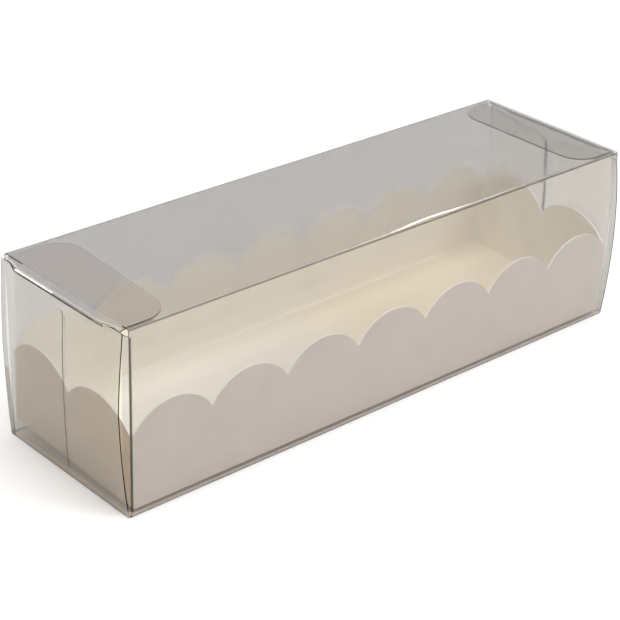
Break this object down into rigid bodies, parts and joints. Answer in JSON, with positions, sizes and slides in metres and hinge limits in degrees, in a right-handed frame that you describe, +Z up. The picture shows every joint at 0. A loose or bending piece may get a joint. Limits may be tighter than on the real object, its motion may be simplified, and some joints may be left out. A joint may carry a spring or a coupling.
{
  "type": "macaron box",
  "caption": "Clear folding box with a scalloped card tray, for a row of macarons, with a tuck-in end flap at each end.",
  "frame": {"origin": "middle of the base, on the surface that the box stands on", "axes": "+X along the box to its right end, -Y out of the front wall, +Z up"},
  "size_m": [0.1733, 0.05, 0.0505],
  "materials": {
    "film": "smooth clear film",
    "card": "uncoated cream card"
  },
  "bodies": {
    "box": {"sleeve": "film", "tray": "card"},
    "left_flap": {"end_flap_left": "film"},
    "right_flap": {"end_flap_right": "film"}
  },
  "joints": [
    {"name": "left_flap_hinge", "type": "hinge", "parent": "box", "child": "left_flap", "pos_m": [-0.08395, 0, 0.00015], "axis": [0, -1, 0], "range_deg": [0, 75]},
    {"name": "right_flap_hinge", "type": "hinge", "parent": "box", "child": "right_flap", "pos_m": [0.08395, 0, 0.00015], "axis": [0, 1, 0], "range_deg": [0, 75]}
  ]
}
